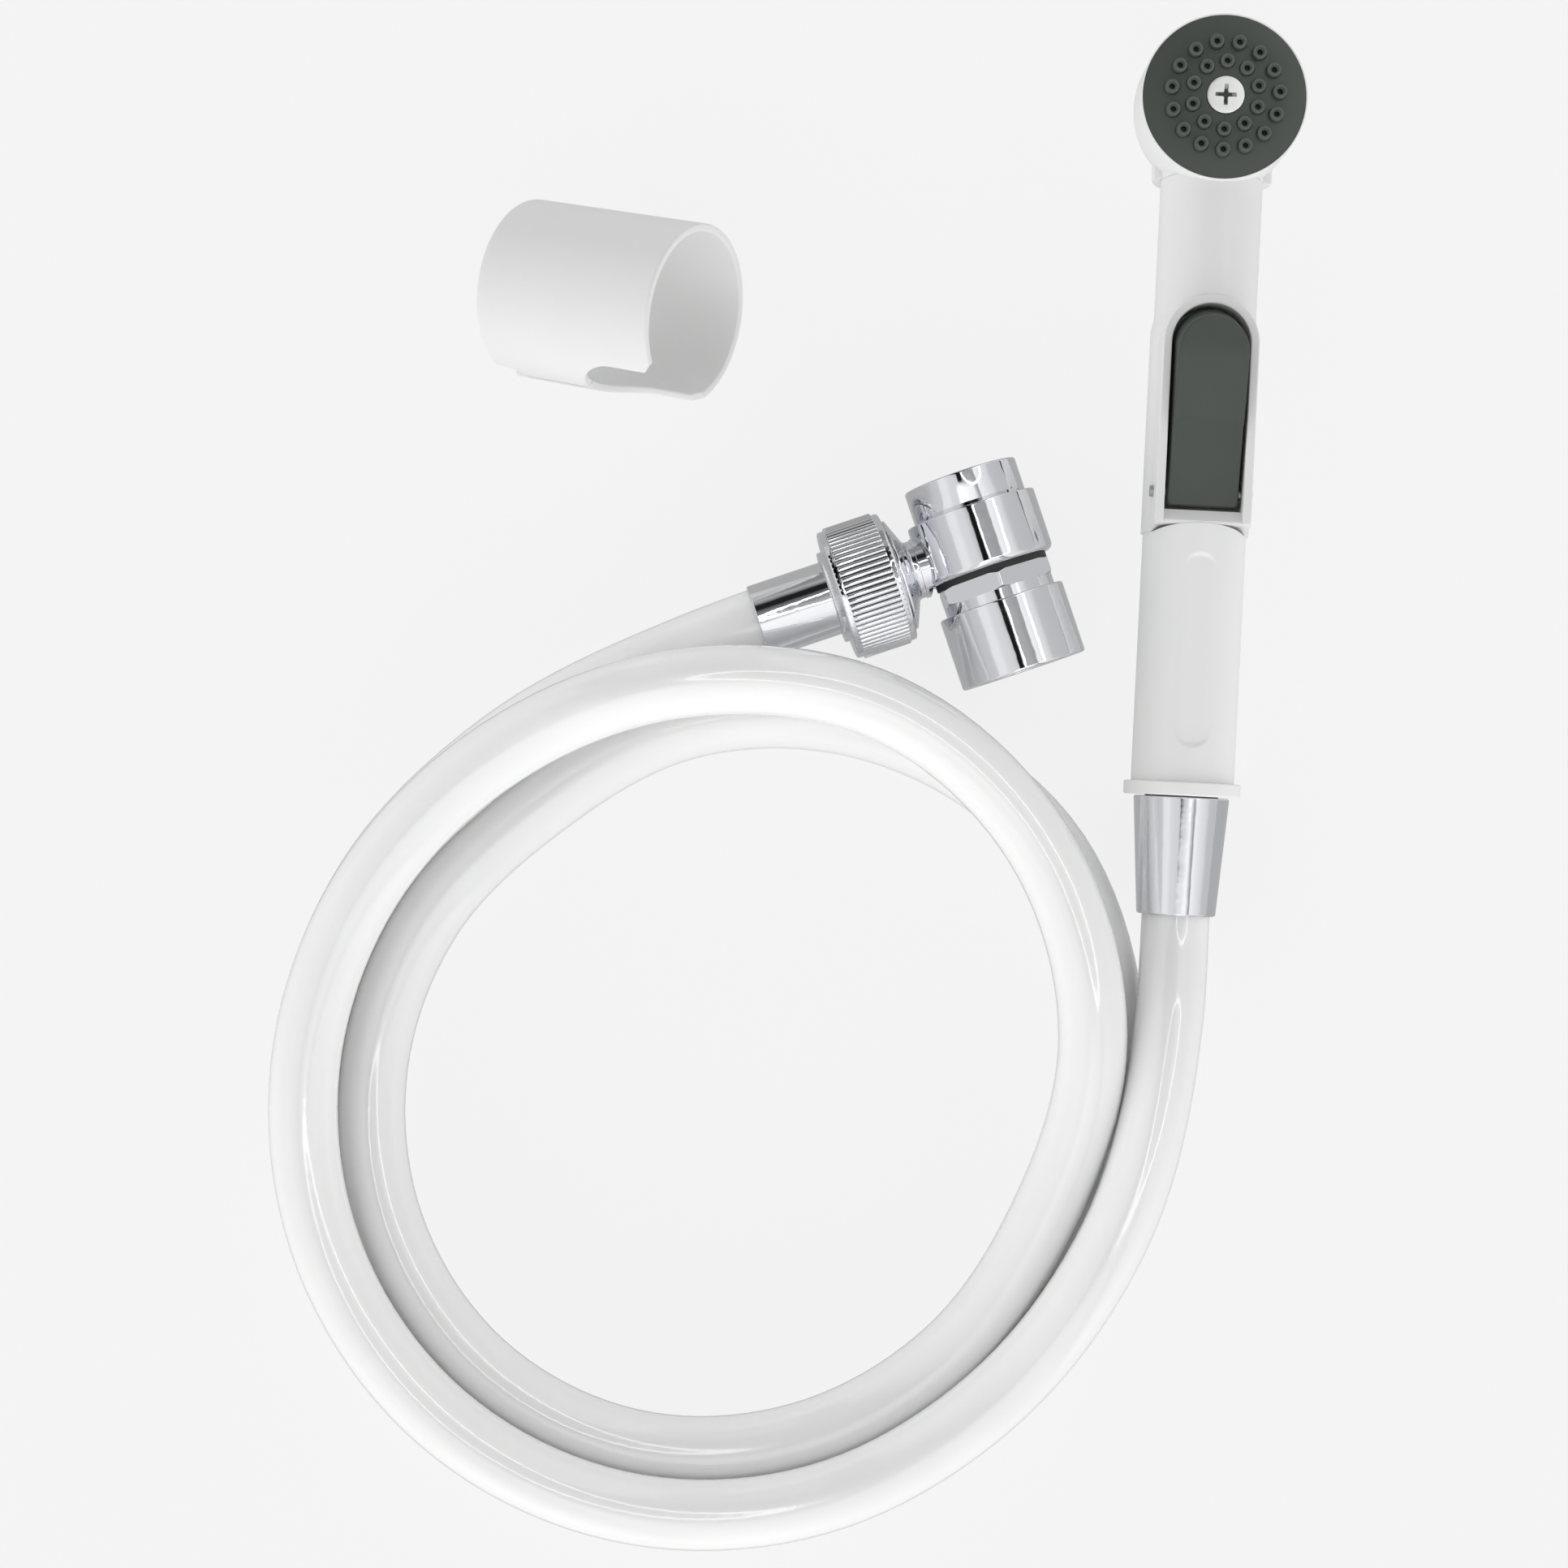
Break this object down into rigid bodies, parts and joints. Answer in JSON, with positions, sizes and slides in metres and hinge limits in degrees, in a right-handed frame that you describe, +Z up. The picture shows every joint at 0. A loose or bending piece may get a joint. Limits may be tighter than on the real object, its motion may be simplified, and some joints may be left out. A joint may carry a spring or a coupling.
{
  "type": "handheld bath sprayer",
  "caption": "Handheld spray head with a thumb trigger on a coiled hose, with a chrome tap diverter and a slotted holder sleeve.",
  "frame": {"origin": "middle of the footprint of the handset, diverter and holder, on the surface they lie on; the hose is left out", "axes": "+Y along the handset towards its spray head, +Z up, away from the surface; the spray face looks up"},
  "size_m": [0.2236, 0.3515, 0.0559],
  "materials": {
    "head_housing": "smooth gloss white",
    "spray_face": "fine satin dark grey",
    "nozzle_mat": "satin dark grey-green silicone",
    "seal": "matt black",
    "steel": "bright stainless",
    "handle_body": "smooth gloss white",
    "trigger_paddle": "fine satin dark grey",
    "inner_plastic": "natural moulded plastic",
    "grip_sleeve": "soft gloss off-white",
    "end_flange": "smooth gloss white",
    "chrome": "mirror chrome plate",
    "brass": "plain turned brass",
    "hose": "smooth gloss white vinyl",
    "holder_sleeve": "smooth gloss white"
  },
  "bodies": {
    "sprayer": {"head_housing": "head_housing", "spray_face": "spray_face", "nozzle_mat": "nozzle_mat", "face_gasket": "seal", "face_screw": "steel", "neck_o_ring": "seal", "handle_body": "handle_body", "pivot_pin": "steel", "valve_block": "inner_plastic", "stem_o_ring": "seal", "grip_sleeve": "grip_sleeve", "end_flange": "end_flange", "inlet_pipe": "inner_plastic", "handset_washer": "seal", "handset_hose_tail": "brass", "hose": "hose", "hose_ferrule": "chrome", "sink_hose_tail": "brass", "sink_washer": "seal", "diverter_body": "chrome", "body_gasket": "seal", "spout_nipple": "chrome", "guide_o_ring": "seal"},
    "paddle": {"trigger_paddle": "trigger_paddle"},
    "valve": {"valve_stem": "steel", "valve_seal": "seal", "trigger_spring": "steel"},
    "hose_nut": {"hose_nut": "chrome"},
    "knurled_nut": {"knurled_nut": "chrome"},
    "inlet_collar": {"inlet_collar": "chrome", "collar_clip": "steel", "inlet_washer": "seal", "inlet_screen": "steel"},
    "pull_ring": {"pull_ring": "chrome", "aerator_insert": "inner_plastic", "diverter_spool": "inner_plastic", "spool_seal": "seal", "diverter_spring": "steel"},
    "holder_sleeve": {"holder_sleeve": "holder_sleeve"}
  },
  "joints": [
    {"name": "paddle_pivot", "type": "hinge", "parent": "sprayer", "child": "paddle", "pos_m": [0.072, -0.0049, 0.0197], "axis": [-1, 0, 0], "range_deg": [0, 6], "stiffness_Nm_per_rad": 1},
    {"name": "valve_slide", "type": "slide", "parent": "sprayer", "child": "valve", "axis": [0, 0, -1], "range_m": [0, 0.0029], "deforming": ["trigger_spring"]},
    {"name": "hose_nut_spin", "type": "hinge", "parent": "sprayer", "child": "hose_nut", "pos_m": [0.072, -0.0892, 0.0132], "axis": [0, 1, 0], "continuous": true},
    {"name": "knurled_nut_spin", "type": "hinge", "parent": "sprayer", "child": "knurled_nut", "pos_m": [0.02385, -0.0191, 0.0155], "axis": [-0.9317, -0.3633, 0], "continuous": true},
    {"name": "inlet_collar_spin", "type": "hinge", "parent": "sprayer", "child": "inlet_collar", "pos_m": [0.02385, -0.0191, 0.0155], "axis": [0.3633, -0.9317, 0], "continuous": true},
    {"name": "pull_ring_slide", "type": "slide", "parent": "sprayer", "child": "pull_ring", "axis": [0.3633, -0.9317, 0], "range_m": [0, 0.004], "stiffness_N_per_m": 300, "deforming": ["diverter_spring"]},
    {"name": "holder_lift", "type": "slide", "parent": "sprayer", "child": "holder_sleeve", "axis": [0, 0, 1], "range_m": [0, 0.06]}
  ],
  "couplings": [
    {"joint": "valve_slide", "follows": "paddle_pivot", "m_per_rad": 0.0269}
  ]
}
